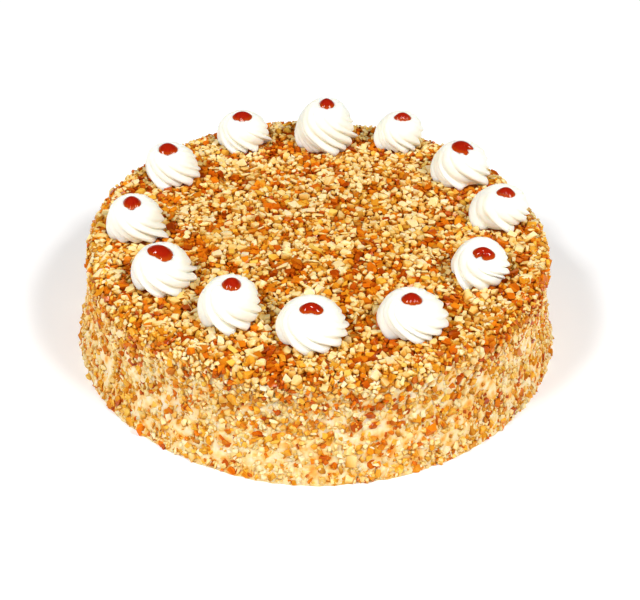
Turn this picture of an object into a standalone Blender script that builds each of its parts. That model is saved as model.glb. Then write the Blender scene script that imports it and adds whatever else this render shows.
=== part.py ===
"""Butterscotch cake: a low round torte coated all over in chopped nuts and
butterscotch brittle, with twelve piped swirls of whipped cream round the rim of
its top, each with a blob of red jelly set in its tip.

Metres, +Z up. The origin is the middle of the flat underside.
"""

import math

import bmesh
import bpy
from mathutils import Vector, noise

# ---------------------------------------------------------------- cake body
HEIGHT = 0.0623            # underside to the level of the crunch on top
TOP_RADIUS = 0.1268        # of the upright part of the side
FOOT_FLARE = 0.0086        # how far the crunch banked up at the foot stands out
FLARE_FROM = 0.042         # the height where the side begins to flare
FLARE_POWER = 1.5
RIM_ROUNDING = 0.0087      # radius of the soft edge between side and top
FOOT_CHAMFER = 0.0012
BODY_SEGMENTS = 72
SIDE_STEPS = 6
RIM_STEPS = 3
SIDE_WAVE = 0.0009         # slow wander of the spread side
SIDE_LUMP = 0.0009         # lumps of crunch on the side
TOP_LUMP = 0.0012          # lumps of crunch in the middle of the top
TOP_RINGS = (0.098, 0.074, 0.050, 0.026)
TOP_FLAT_FROM = 0.070      # the swirls stand on level crunch outside this radius

# ------------------------------------------------------------- cream swirls
SEAT_GAP = 0.0003          # between a swirl and the crunch, and a blob and its swirl
SEGMENTS_PER_RIDGE = 3
CRATER_DEPTH = 0.0026
BLOB_SEGMENTS = 12
BLOB_CROWN = 0.0030        # how far a blob of jelly stands above the swirl's tip
LEAN_POWER = 1.3           # a swirl leans most near its tip

# One line for each swirl, clockwise from the back: its place (degrees round the
# cake from +X, millimetres from the axis), its width and its height in
# millimetres, how many ridges its nozzle left, the turn it starts at, how far its
# tip leans to the right and to the back, in millimetres, and the length, breadth
# and bearing of its blob of jelly.
SWIRLS = (
    # angle  out   width  high  ridges start  lean        blob
    (89.0, 98.8, 34.8, 24.6, 12, 10, (1.3, 0.0), (8.9, 13.4, 0)),
    (64.8, 110.4, 29.4, 17.4, 12, 35, (1.9, -2.1), (10.7, 9.6, 5)),
    (37.1, 104.0, 33.0, 18.8, 12, 20, (-0.6, -1.6), (12.4, 16.2, 20)),
    (10.1, 102.3, 31.8, 17.6, 12, 5, (2.3, -3.2), (10.6, 10.3, -10)),
    (-23.2, 92.4, 30.0, 17.4, 12, 50, (1.1, -6.3), (12.0, 8.8, -12)),
    (-59.0, 94.6, 33.4, 15.8, 12, 15, (-1.5, -2.5), (10.6, 10.0, -5)),
    (-90.8, 91.0, 34.6, 15.8, 12, 40, (-0.6, -2.7), (12.0, 9.6, -8)),
    (-118.8, 89.2, 31.2, 19.0, 12, 0, (1.4, -1.5), (9.6, 11.2, 0)),
    (-147.9, 94.1, 32.2, 17.8, 12, 25, (-0.1, -2.3), (16.0, 11.6, -48)),
    (-177.2, 98.4, 31.2, 18.8, 12, 60, (-1.9, -3.0), (9.6, 13.2, 10)),
    (147.2, 101.3, 31.2, 16.8, 12, 30, (-2.6, -1.6), (11.2, 13.6, 15)),
    (115.9, 107.4, 31.0, 16.4, 12, 45, (-0.8, -1.9), (12.0, 12.6, 5)),
)
NODS = {5: 0.22, 7: 0.06}  # how far a swirl's tip nods to the front, by number

# The outline of a swirl from its foot to the lip of its tip: share of the
# height, share of the half width, depth of the grooves as a share of the half
# width, and the turn in degrees that the ridges have made by then.
SWIRL_PROFILE = (
    (0.00, 0.92, 0.085, 0.0),
    (0.17, 0.97, 0.090, 11.0),
    (0.44, 0.94, 0.080, 32.0),
    (0.72, 0.82, 0.060, 56.0),
    (0.92, 0.65, 0.035, 78.0),
    (1.00, 0.50, 0.010, 96.0),
)


def material(name, colour, roughness):
    made = bpy.data.materials.new(name)
    made.use_nodes = True
    shader = made.node_tree.nodes["Principled BSDF"]
    shader.inputs["Base Color"].default_value = (*colour, 1.0)
    shader.inputs["Roughness"].default_value = roughness
    shader.inputs["Metallic"].default_value = 0.0
    return made


def add_object(name, rings, low_middle, high_middle, finish, sharp=50.0):
    """A closed body from rings of points, lowest first, each run anticlockwise
    as seen from above, with a fan of triangles to a middle point at each end."""
    bm = bmesh.new()
    loops = [[bm.verts.new(point) for point in ring] for ring in rings]
    for low, high in zip(loops, loops[1:]):
        count = len(low)
        for i in range(count):
            j = (i + 1) % count
            bm.faces.new((low[i], low[j], high[j], high[i]))
    count = len(loops[0])
    if low_middle is None:
        bm.faces.new(list(reversed(loops[0])))
    else:
        middle = bm.verts.new(low_middle)
        for i in range(count):
            bm.faces.new((middle, loops[0][(i + 1) % count], loops[0][i]))
    middle = bm.verts.new(high_middle)
    for i in range(count):
        bm.faces.new((middle, loops[-1][i], loops[-1][(i + 1) % count]))
    mesh = bpy.data.meshes.new(name)
    bm.to_mesh(mesh)
    bm.free()
    mesh.shade_smooth()
    mesh.set_sharp_from_angle(angle=math.radians(sharp))
    mesh.materials.append(finish)
    made = bpy.data.objects.new(name, mesh)
    bpy.context.scene.collection.objects.link(made)
    return made


def side_offset(angle, height):
    """How far the coated side wanders in or out of its turned shape."""
    slow = 0.6 * math.sin(3 * angle + 0.8) + 0.4 * math.sin(5 * angle + 2.1 + 14 * height)
    place = Vector((math.cos(angle) * 4.2, math.sin(angle) * 4.2, height * 60))
    return SIDE_WAVE * slow + SIDE_LUMP * noise.noise(place)


def top_offset(x, y):
    """Lumps of crunch in the middle of the top, gone where the swirls stand."""
    radius = math.hypot(x, y)
    share = min(max((TOP_FLAT_FROM - radius) / 0.015, 0.0), 1.0)
    return TOP_LUMP * share * noise.noise(Vector((x * 45 + 7.3, y * 45 - 2.2, 4.1)))


def side_radius(height):
    """Upright above, and below it flares out to the foot."""
    share = max(1 - height / FLARE_FROM, 0.0)
    return TOP_RADIUS + FOOT_FLARE * share ** FLARE_POWER


def body_profile():
    """Radius and height of each ring of the body, from the foot to the top."""
    yield side_radius(0) - FOOT_CHAMFER, 0.0
    shoulder = HEIGHT - RIM_ROUNDING
    for step in range(SIDE_STEPS + 1):
        height = FOOT_CHAMFER + (shoulder - FOOT_CHAMFER) * step / SIDE_STEPS
        yield side_radius(height), height
    for step in range(1, RIM_STEPS + 1):
        turn = math.radians(90 * step / RIM_STEPS)
        yield (
            TOP_RADIUS - RIM_ROUNDING * (1 - math.cos(turn)),
            shoulder + RIM_ROUNDING * math.sin(turn),
        )


def make_body(finish):
    angles = [2 * math.pi * i / BODY_SEGMENTS for i in range(BODY_SEGMENTS)]
    rings = []
    for radius, height in body_profile():
        ring = []
        for angle in angles:
            out = radius + side_offset(angle, height)
            ring.append((out * math.cos(angle), out * math.sin(angle), height))
        rings.append(ring)
    for radius in TOP_RINGS:
        ring = []
        for angle in angles:
            x, y = radius * math.cos(angle), radius * math.sin(angle)
            ring.append((x, y, HEIGHT + top_offset(x, y)))
        rings.append(ring)
    return add_object(
        "cake_body", rings, None, (0, 0, HEIGHT + top_offset(0, 0)), finish
    )


def ridge(share):
    """A nozzle's ridge, round on its crest and sharp in the groove: 1 on the
    crest and 0 in the groove, for a share of the way from groove to groove."""
    return math.sqrt(math.sin(math.pi * (share % 1.0)))


def leant(place, lean, nod, share_up=1.0):
    """This place in a swirl once its tip has leant over and nodded."""
    sway = share_up ** LEAN_POWER / 1000
    x, y = place[0] + lean[0] * sway, place[1] + lean[1] * sway
    return x, y, place[2] + nod * y * share_up ** 2


def crater_floor(radius, lip, high):
    """Height of the dished tip inside the lip."""
    share = min(radius / lip, 1.0)
    return high - CRATER_DEPTH * (1 - share * share)


def make_swirl(name, row, nod, finish):
    angle, out, width, high, ridges, start, lean, _ = row
    half, high = width / 2000, high / 1000
    count = ridges * SEGMENTS_PER_RIDGE
    rings = []
    for share_up, share_out, groove, turned in SWIRL_PROFILE:
        ring = []
        for i in range(count):
            share = i / SEGMENTS_PER_RIDGE
            radius = half * (share_out - groove * (1 - ridge(share)) + groove * 0.4)
            # Seen from above the ridges climb clockwise.
            at = 2 * math.pi * i / count + math.radians(start - turned)
            ring.append(
                leant(
                    (radius * math.cos(at), radius * math.sin(at), high * share_up),
                    lean,
                    nod,
                    share_up,
                )
            )
        rings.append(ring)
    lip = half * SWIRL_PROFILE[-1][1]
    inner = lip * 0.55
    ring = []
    for i in range(count):
        at = 2 * math.pi * i / count + math.radians(start - SWIRL_PROFILE[-1][3])
        ring.append(
            leant(
                (inner * math.cos(at), inner * math.sin(at), crater_floor(inner, lip, high)),
                lean,
                nod,
            )
        )
    rings.append(ring)
    tip = leant((0, 0, high - CRATER_DEPTH), lean, nod)
    made = add_object(name, rings, (0, 0, 0), tip, finish, 60.0)
    place_on_top(made, angle, out, 0.0)
    return made


def make_blob(name, row, nod, finish):
    """Jelly that fills the crater of its swirl and stands above it in a low dome."""
    angle, out, width, high, _, _, lean, (long, broad, bearing) = row
    half, high = width / 2000, high / 1000
    lip = half * SWIRL_PROFILE[-1][1]
    # (share of the outline, height over the crater's floor, or over the lip)
    rings = []
    for share, kind in ((0.55, "floor"), (0.94, "floor"), (1.0, "waist"), (0.66, "crown")):
        ring = []
        for i in range(BLOB_SEGMENTS):
            at = 2 * math.pi * i / BLOB_SEGMENTS
            # An oval with one flattened side, as a bean has.
            reach = 1.0 - 0.09 * max(math.sin(at + 3.6), 0.0)
            x = share * reach * min(long / 2000, lip * 0.96) * math.cos(at)
            y = share * reach * min(broad / 2000, lip * 0.96) * math.sin(at)
            floor = crater_floor(math.hypot(x, y) * 1.04, lip, high) + SEAT_GAP
            if kind == "floor":
                z = floor
            elif kind == "waist":
                z = floor + BLOB_CROWN * 0.30
            else:
                z = high + BLOB_CROWN * 0.80
            turn = math.radians(bearing)
            place = (
                x * math.cos(turn) - y * math.sin(turn),
                x * math.sin(turn) + y * math.cos(turn),
                z,
            )
            ring.append(leant(place, lean, nod))
        rings.append(ring)
    made = add_object(
        name,
        rings,
        leant((0, 0, high - CRATER_DEPTH + SEAT_GAP), lean, nod),
        leant((0, 0, high + BLOB_CROWN), lean, nod),
        finish,
        80.0,
    )
    place_on_top(made, angle, out, 0.0)
    return made


def place_on_top(made, angle, out, lift):
    made.location = (
        out / 1000 * math.cos(math.radians(angle)),
        out / 1000 * math.sin(math.radians(angle)),
        HEIGHT + SEAT_GAP + lift,
    )


def main():
    for old in list(bpy.data.objects):
        bpy.data.objects.remove(old, do_unlink=True)
    crunch = material("nut_and_brittle_crunch", (0.62, 0.36, 0.13), 0.55)
    cream = material("whipped_cream", (0.93, 0.91, 0.86), 0.45)
    jelly = material("red_jelly", (0.50, 0.035, 0.008), 0.12)
    make_body(crunch)
    for number, row in enumerate(SWIRLS, 1):
        nod = NODS.get(number, 0.0)
        make_swirl(f"cream_swirl_{number:02d}", row, nod, cream)
        make_blob(f"jelly_blob_{number:02d}", row, nod, jelly)


main()
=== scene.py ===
"""Looks of a butterscotch cake: a low round torte coated in chopped nuts and
glossy butterscotch brittle, with twelve piped swirls of whipped cream, each
tipped with a blob of red jelly. Metres, +Z up, in the frame of the CAD model.
"""

import math

import bmesh
import bpy
import numpy as np
from mathutils import Matrix, Vector, noise


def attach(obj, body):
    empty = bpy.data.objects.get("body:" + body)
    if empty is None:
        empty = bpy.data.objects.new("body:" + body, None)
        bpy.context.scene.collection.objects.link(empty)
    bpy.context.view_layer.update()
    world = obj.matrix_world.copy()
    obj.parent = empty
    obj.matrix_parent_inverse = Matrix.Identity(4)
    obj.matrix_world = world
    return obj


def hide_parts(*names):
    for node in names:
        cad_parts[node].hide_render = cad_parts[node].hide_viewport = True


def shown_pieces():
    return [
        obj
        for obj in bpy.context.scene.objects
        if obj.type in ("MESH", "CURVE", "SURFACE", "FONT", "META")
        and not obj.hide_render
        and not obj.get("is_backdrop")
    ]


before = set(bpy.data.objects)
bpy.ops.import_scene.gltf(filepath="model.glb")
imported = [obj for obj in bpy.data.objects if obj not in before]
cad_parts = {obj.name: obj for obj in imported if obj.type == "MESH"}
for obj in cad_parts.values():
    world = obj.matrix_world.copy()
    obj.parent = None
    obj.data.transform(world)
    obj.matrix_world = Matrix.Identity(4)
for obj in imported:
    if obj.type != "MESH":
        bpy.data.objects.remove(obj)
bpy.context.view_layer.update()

MM = 0.001
rng = np.random.default_rng(2267)

# ------------------------------------------------------- sizes, as in the CAD
HEIGHT = 0.0623
TOP_RADIUS = 0.1268
FOOT_FLARE = 0.0086
FLARE_FROM = 0.042
FLARE_POWER = 1.5
RIM_ROUNDING = 0.0087
SIDE_WAVE = 0.0009
SIDE_LUMP = 0.0009
TOP_LUMP = 0.0012
TOP_FLAT_FROM = 0.070
SEAT_GAP = 0.0003
CRATER_DEPTH = 0.0026
BLOB_CROWN = 0.0030

# angle, distance from the axis, width, height (mm), ridges, start, lean to the
# right and to the back (mm), the blob's length, breadth (mm) and bearing, and the
# notches in the blob's edge where cream laps over it: direction, depth, width
SWIRLS = (
    (89.0, 98.8, 34.8, 24.6, 12, 10, (1.3, 0.0), (8.9, 13.4, 0),
     ((250, 0.20, 12), (288, 0.22, 12))),
    (64.8, 110.4, 29.4, 17.4, 12, 35, (1.9, -2.1), (10.7, 9.6, 5),
     ((240, 0.14, 10), (270, 0.20, 11), (300, 0.14, 10))),
    (37.1, 104.0, 33.0, 18.8, 12, 20, (-0.6, -1.6), (12.4, 16.2, 20),
     ((318, 0.64, 18), (262, 0.12, 9))),
    (10.1, 102.3, 31.8, 17.6, 12, 5, (2.3, -3.2), (10.6, 10.3, -10),
     ((236, 0.22, 14), (266, 0.18, 10))),
    (-23.2, 92.4, 30.0, 17.4, 12, 50, (1.1, -6.3), (12.0, 8.8, -12),
     ((239, 0.52, 15), (300, 0.05, 12))),
    (-59.0, 94.6, 33.4, 15.8, 12, 15, (-1.5, -2.5), (10.6, 10.0, -5),
     ((248, 0.12, 9), (272, 0.06, 8), (296, 0.12, 9))),
    (-90.8, 91.0, 34.6, 15.8, 12, 40, (-0.6, -2.7), (12.0, 9.6, -8),
     ((268, 0.42, 30), (236, 0.10, 9))),
    (-118.8, 89.2, 31.2, 19.0, 12, 0, (1.4, -1.5), (9.6, 11.2, 0),
     ((258, 0.14, 10), (284, 0.08, 9))),
    (-147.9, 94.1, 32.2, 17.8, 12, 25, (-0.1, -2.3), (16.0, 11.6, -48),
     ((238, 0.24, 24), (262, 0.12, 10))),
    (-177.2, 98.4, 31.2, 18.8, 12, 60, (-1.9, -3.0), (9.6, 13.2, 10),
     ((250, 0.10, 10), (300, 0.18, 12))),
    (147.2, 101.3, 31.2, 16.8, 12, 30, (-2.6, -1.6), (11.2, 13.6, 15),
     ((250, 0.12, 10), (300, 0.16, 12))),
    (115.9, 107.4, 31.0, 16.4, 12, 45, (-0.8, -1.9), (12.0, 12.6, 5),
     ((246, 0.26, 9), (270, 0.22, 9), (296, 0.22, 9))),
)
TILTS = {5: 0.22, 7: 0.06}  # how far a swirl's tip nods to the front, by number
LEAN_POWER = 1.3
LEAN_OF_CREAM = 0.45       # share of the lean to the front that the cream takes

# ------------------------------------------------------------ sizes, looks only
CREAM_UNDER = 1.5 * MM     # cream of the side, inside the coat's outline
GLAZE_UNDER = 2.3 * MM     # glaze of the top, between and under its bits
CELL = 0.5 * MM            # of the grids on which bits are laid


# --------------------------------------------------------------------- helpers
def value_noise(points, seed):
    """Smooth noise from -1 to 1 at each of n points, one cell to a unit."""
    low = np.floor(points).astype(np.int64)
    part = points - low
    part = part * part * part * (part * (part * 6 - 15) + 10)
    total = np.zeros(len(points))
    for corner in range(8):
        step = np.array([(corner >> k) & 1 for k in range(3)])
        cell = (low + step).astype(np.uint64)
        mixed = (
            cell[:, 0] * np.uint64(0x9E3779B185EBCA87)
            ^ cell[:, 1] * np.uint64(0xC2B2AE3D27D4EB4F)
            ^ cell[:, 2] * np.uint64(0x165667B19E3779F9)
            ^ np.uint64(seed * 7919 + 17)
        )
        mixed ^= mixed >> np.uint64(29)
        mixed *= np.uint64(0xBF58476D1CE4E5B9)
        mixed ^= mixed >> np.uint64(32)
        value = (mixed & np.uint64(0xFFFFFF)).astype(float) / 0x7FFFFF - 1
        weight = np.prod(np.where(step, part, 1 - part), axis=1)
        total += weight * value
    return total


def smooth(low, high, value):
    share = np.clip((value - low) / (high - low), 0, 1)
    return share * share * (3 - 2 * share)


def through(points, count):
    """Count points along a smooth curve through these control points."""
    points = np.asarray(points, float)
    ends = np.vstack([2 * points[0] - points[1], points, 2 * points[-1] - points[-2]])
    lengths = np.linalg.norm(np.diff(points, axis=0), axis=1)
    at = np.concatenate([[0], np.cumsum(lengths)])
    found = []
    for want in np.linspace(0, at[-1], count):
        k = min(int(np.searchsorted(at, want, "right")) - 1, len(lengths) - 1)
        t = (want - at[k]) / lengths[k]
        a, b, c, d = ends[k : k + 4]
        found.append(
            0.5 * (2 * b + (c - a) * t + (2 * a - 5 * b + 4 * c - d) * t * t
                   + (3 * b - a - 3 * c + d) * t ** 3)
        )
    return np.array(found)


def mesh_object(name, verts, faces, tone=None, sharp=None):
    """A mesh from arrays. faces has three or four corners a row. tone gives each
    corner of a face its place on the material's chart of colours: two numbers."""
    faces = np.asarray(faces, np.int32)
    corners = faces.shape[1]
    mesh = bpy.data.meshes.new(name)
    mesh.vertices.add(len(verts))
    mesh.vertices.foreach_set("co", np.ascontiguousarray(verts, np.float32).ravel())
    mesh.loops.add(faces.size)
    mesh.loops.foreach_set("vertex_index", faces.ravel())
    mesh.polygons.add(len(faces))
    mesh.polygons.foreach_set(
        "loop_start", np.arange(0, faces.size, corners, dtype=np.int32)
    )
    mesh.update(calc_edges=True)
    mesh.validate()
    if tone is not None:
        spread = np.array([(-0.004, -0.003), (0.004, -0.003), (0.0, 0.004)])
        places = np.clip(tone, 0.008, 0.992) + spread[None]
        for layer in ("tone", "OFBake"):
            uv = mesh.uv_layers.new(name=layer, do_init=False)
            uv.data.foreach_set("uv", places.astype(np.float32).ravel())
    mesh.shade_smooth()
    if sharp is not None:
        mesh.set_sharp_from_angle(angle=math.radians(sharp))
    made = bpy.data.objects.new(name, mesh)
    bpy.context.scene.collection.objects.link(made)
    return made


# ------------------------------------------------------------ form of the cake
def side_radius(height):
    share = np.maximum(1 - height / FLARE_FROM, 0.0)
    return TOP_RADIUS + FOOT_FLARE * share ** FLARE_POWER


def side_offset(angle, height):
    slow = 0.6 * np.sin(3 * angle + 0.8) + 0.4 * np.sin(5 * angle + 2.1 + 14 * height)
    lump = np.array(
        [
            noise.noise(Vector((math.cos(a) * 4.2, math.sin(a) * 4.2, h * 60)))
            for a, h in zip(np.ravel(angle), np.ravel(height))
        ]
    ).reshape(np.shape(angle))
    return SIDE_WAVE * slow + SIDE_LUMP * lump


def top_offset(x, y):
    share = np.clip((TOP_FLAT_FROM - np.hypot(x, y)) / 0.015, 0, 1)
    lump = np.array(
        [
            noise.noise(Vector((a * 45 + 7.3, b * 45 - 2.2, 4.1)))
            for a, b in zip(np.ravel(x), np.ravel(y))
        ]
    ).reshape(np.shape(x))
    return TOP_LUMP * share * lump


# The side's outline from the foot over the rim, by distance along it.
SHOULDER = HEIGHT - RIM_ROUNDING
_z = np.linspace(0, SHOULDER, 160)
_turn = np.linspace(0, math.pi / 2, 60)[1:]
OUTLINE = np.vstack(
    [
        np.stack([side_radius(_z), _z], 1),
        np.stack(
            [
                TOP_RADIUS - RIM_ROUNDING * (1 - np.cos(_turn)),
                SHOULDER + RIM_ROUNDING * np.sin(_turn),
            ],
            1,
        ),
    ]
)
ALONG = np.concatenate(
    [[0], np.cumsum(np.linalg.norm(np.diff(OUTLINE, axis=0), axis=1))]
)
SIDE_LENGTH = float(ALONG[-1])
_run = np.gradient(OUTLINE, ALONG, axis=0)
_run /= np.linalg.norm(_run, axis=1)[:, None]
ARC = 2 * math.pi * TOP_RADIUS  # the side's grid runs this far round


def side_frame(along, angle):
    """Place on the coat's outline, and the outward, upward and round directions."""
    along = np.clip(along, 0, SIDE_LENGTH)
    radius = np.interp(along, ALONG, OUTLINE[:, 0])
    height = np.interp(along, ALONG, OUTLINE[:, 1])
    up_r = np.interp(along, ALONG, _run[:, 0])
    up_z = np.interp(along, ALONG, _run[:, 1])
    fade = 1 - smooth(SHOULDER + 0.5 * RIM_ROUNDING, HEIGHT, height)
    radius = radius + side_offset(angle, height) * fade
    c, s = np.cos(angle), np.sin(angle)
    zero = np.zeros_like(c)
    place = np.stack([radius * c, radius * s, height], -1)
    outward = np.stack([up_z * c, up_z * s, -up_r], -1)
    upward = np.stack([up_r * c, up_r * s, up_z], -1)
    around = np.stack([-s, c, zero], -1)
    return place, outward, upward, around


def glaze_relief(x, y):
    """Rise and fall of the glaze on the level top."""
    flat = np.stack([np.ravel(x), np.ravel(y), np.zeros(np.size(x))], 1)
    rise = 0.45 * value_noise(flat / 0.006, 5) + 0.35 * value_noise(flat / 0.0032, 6)
    return MM * rise.reshape(np.shape(x))


def under_coat(along):
    """How deep the cream or the glaze lies inside the coat's outline."""
    share = smooth(SIDE_LENGTH - 0.016, SIDE_LENGTH - 0.003, along)
    return CREAM_UNDER + (GLAZE_UNDER - CREAM_UNDER) * share


# ------------------------------------------------------------ shapes of the bits
def lump_shape(radii, cuts, near, far, rough, detail=1, planes=()):
    """A convex chip: a knobbly ball that a knife has cut a few times. Returns
    corners within a unit box, triangles, and for each whether it was cut."""
    bm = bmesh.new()
    if detail:
        bmesh.ops.create_icosphere(bm, subdivisions=detail, radius=1.0)
        turn = Matrix.Rotation(rng.uniform(0, 6.28), 3, Vector(rng.normal(size=3)))
    else:
        bmesh.ops.create_cube(bm, size=1.6)
        bmesh.ops.triangulate(bm, faces=bm.faces[:])
        turn = Matrix.Identity(3)
    for v in bm.verts:
        v.co = turn @ v.co
        v.co *= 1 + rough * rng.normal()
        v.co = Vector((v.co.x * radii[0], v.co.y * radii[1], v.co.z * radii[2]))
    ways = [Vector(p).normalized() for p in planes]
    while len(ways) < cuts:
        ways.append(Vector(rng.normal(size=3)).normalized())
    for way in ways[:cuts]:
        support = max(v.co.dot(way) for v in bm.verts)
        at = way * support * rng.uniform(near, far)
        bmesh.ops.bisect_plane(
            bm, geom=bm.verts[:] + bm.edges[:] + bm.faces[:],
            plane_co=at, plane_no=way, clear_outer=True, dist=1e-5,
        )
    points = [v.co.copy() for v in bm.verts]
    bm.free()
    bm = bmesh.new()
    for p in points:
        bm.verts.new(p)
    bmesh.ops.remove_doubles(bm, verts=bm.verts[:], dist=0.05)
    found = bmesh.ops.convex_hull(bm, input=bm.verts[:])
    stray = [
        e for e in set(found["geom_interior"]) | set(found["geom_unused"])
        if isinstance(e, bmesh.types.BMVert) and e.is_valid
    ]
    bmesh.ops.delete(bm, geom=stray, context="VERTS")
    bmesh.ops.dissolve_limit(
        bm, angle_limit=math.radians(9), verts=bm.verts[:], edges=bm.edges[:]
    )
    bmesh.ops.triangulate(bm, faces=bm.faces[:])
    bmesh.ops.recalc_face_normals(bm, faces=bm.faces[:])
    bm.verts.index_update()
    bm.normal_update()
    verts = np.array([v.co[:] for v in bm.verts])
    faces = np.array([[v.index for v in f.verts] for f in bm.faces])
    skin = Vector(rng.normal(size=3)).normalized()
    cut = np.array(
        [
            max((f.normal.dot(w) for w in ways), default=0) > 0.97
            or (not detail and f.normal.dot(skin) < 0.8)
            for f in bm.faces
        ]
    )
    bm.free()
    low, high = verts.min(0), verts.max(0)
    verts = (verts - (low + high) / 2) / (high - low)
    return verts, faces, cut


def nut_shapes(count, round_share):
    """Chopped kernels: chips with flat faces where the knife went through, and
    some that keep the round back of the kernel."""
    found = []
    for k in range(count):
        if k < round_share * count:
            found.append(lump_shape((1, 0.88, 0.82), 3 + k % 3, 0.4, 0.8, 0.09))
        else:
            found.append(lump_shape((1, 0.9, 0.85), 4 + k % 3, 0.5, 0.85, 0.12, 0))
    return found


def brittle_shapes(count):
    """Shards of cracked sugar: flat above and below, broken sharply round the edge."""
    found = []
    for _ in range(count):
        tilt = rng.normal(size=2) * 0.2
        edge = rng.uniform(0, 6.28) + np.cumsum(rng.uniform(0.9, 1.7, 4))
        ways = [(tilt[0], tilt[1], 1), (-tilt[1], tilt[0] * 0.5, -1)]
        ways += [(math.cos(e), math.sin(e), rng.normal() * 0.35) for e in edge]
        found.append(lump_shape((1, 0.9, 0.85), 6, 0.5, 0.85, 0.14, 0, planes=ways))
    return found


def crumb_shapes(count):
    return [lump_shape((1, 0.85, 0.75), 1, 0.4, 0.8, 0.2, 0) for _ in range(count)]


NUTS_TOP, NUTS_SIDE = nut_shapes(60, 0.65), nut_shapes(60, 0.55)
BRITTLE, CRUMBS = brittle_shapes(44), crumb_shapes(20)


def smeared(points):
    """Where the cream of the side was spread over its bits as well: 0 to 1."""
    patch = 0.45 * value_noise(points / (0.009, 0.009, 0.006), 61)
    patch = patch + 0.75 * value_noise(points / 0.0030, 62)
    return smooth(0.1, 0.6, patch) * (1 - smooth(0.042, 0.054, points[:, 2]))


class Bits:
    """Bits of one kind, gathered until they are made into one mesh. The small
    ones among them are plain crumbs."""

    def __init__(self, name, shapes):
        self.name, self.large = name, len(shapes)
        self.shapes = shapes + CRUMBS if shapes is not CRUMBS else shapes
        self.rows = []

    def add(self, place, turn, size, out, tone, mark):
        """Places (n, 3), turns (n, 3, 3), sizes (n, 3), the directions out of the
        coat (n, 3), tones and marks (n,)."""
        self.rows.append((place, turn, size, out, tone, mark))

    def build(self, skin, under, reach, jitter, sharp, creamed=0.0):
        """How much further along the chart of colours than the rest of a bit a
        face lies: by skin where it is uncut, and by under on faces turned away from
        out and towards the bit's foot. That is partly the syrup that runs between
        the bits and partly painted shade on undersides and in the cracks. reach is
        from where to where down the bit that happens, with 1 at its top and 0 in its
        middle. Where cream is smeared over it, a bit keeps to the pale end, by the
        share creamed."""
        place, turn, size, out, tone, mark = (
            np.concatenate([row[k] for row in self.rows]) for k in range(6)
        )
        small = self.large + rng.integers(0, len(CRUMBS), len(place))
        which = rng.integers(0, self.large, len(place))
        if self.shapes is not CRUMBS:
            which = np.where(size[:, 0] < 2.7 * MM, small, which)
        verts, faces, tones, start = [], [], [], 0
        for k, (points, tris, cut) in enumerate(self.shapes):
            mine = np.flatnonzero(which == k)
            if not len(mine):
                continue
            local = points[None] * size[mine][:, None, :]
            world = np.einsum("nij,nkj->nki", turn[mine], local) + place[mine][:, None]
            low = world[:, :, 2].min(1)
            world[:, :, 2] += np.maximum(0.0001 - low, 0)[:, None]
            verts.append(world.reshape(-1, 3))
            shift = start + np.arange(len(mine)) * len(points)
            faces.append((tris[None] + shift[:, None, None]).reshape(-1, 3))
            a, b, c = (world[:, tris[:, i]] for i in range(3))
            facing = np.cross(b - a, c - a)
            facing /= np.linalg.norm(facing, axis=2)[..., None] + 1e-12
            facing = np.einsum("nfi,ni->nf", facing, out[mine])
            along = tone[mine][:, None] + np.where(cut, 0, skin)[None]
            # Painted shade, with syrup: faces turned away from out go to the dark end.
            along = along + 0.4 * under * smooth(0.85, -0.35, facing)
            along = along + jitter * rng.normal(size=(len(mine), len(tris)))
            across = mark[mine][:, None] + 0.08 * rng.normal(size=(len(mine), len(tris)))
            rise = np.einsum("nki,ni->nk", world - place[mine][:, None], out[mine])
            rise /= rise.max(1)[:, None] + 1e-9
            # Painted shade, with syrup: darker towards the bit's foot, in the cracks between bits.
            foot = under * smooth(*reach, rise)[:, tris]
            along = along[..., None] + foot
            if creamed:
                film = smeared(world.reshape(-1, 3)).reshape(world.shape[:2])
                along = along * (1 - creamed * film[:, tris])
            across = np.broadcast_to(across[..., None], along.shape)
            tones.append(np.stack([along, across], -1).reshape(-1, 3, 2))
            start += len(mine) * len(points)
        made = mesh_object(
            self.name, np.concatenate(verts), np.concatenate(faces),
            tone=np.concatenate(tones), sharp=sharp,
        )
        print(self.name, len(place), "bits,", len(made.data.polygons), "triangles")
        return made


def turns(bearing, tilt, out, right, up):
    """Rotations that lay a chip's long side at this bearing on a surface whose
    outward, right and up directions are given, tipped by tilt about any axis."""
    n = len(bearing)
    c, s = np.cos(bearing), np.sin(bearing)
    long = right * c[:, None] + up * s[:, None]
    broad = -right * s[:, None] + up * c[:, None]
    basis = np.stack([long, broad, out], -1)
    axis = rng.normal(size=(n, 3))
    axis /= np.linalg.norm(axis, axis=1)[:, None]
    cos, sin = np.cos(tilt), np.sin(tilt)
    cross = np.zeros((n, 3, 3))
    cross[:, 0, 1], cross[:, 0, 2] = -axis[:, 2], axis[:, 1]
    cross[:, 1, 0], cross[:, 1, 2] = axis[:, 2], -axis[:, 0]
    cross[:, 2, 0], cross[:, 2, 1] = -axis[:, 1], axis[:, 0]
    tip = (
        cos[:, None, None] * np.eye(3)[None]
        + sin[:, None, None] * cross
        + (1 - cos)[:, None, None] * axis[:, :, None] * axis[:, None, :]
    )
    flip = rng.integers(0, 2, (n, 2)) * 2 - 1
    signs = np.stack([flip[:, 0], flip[:, 1], flip[:, 0] * flip[:, 1]], -1)
    return np.einsum("nij,njk->nik", tip, basis) * signs[:, None, :]


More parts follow.
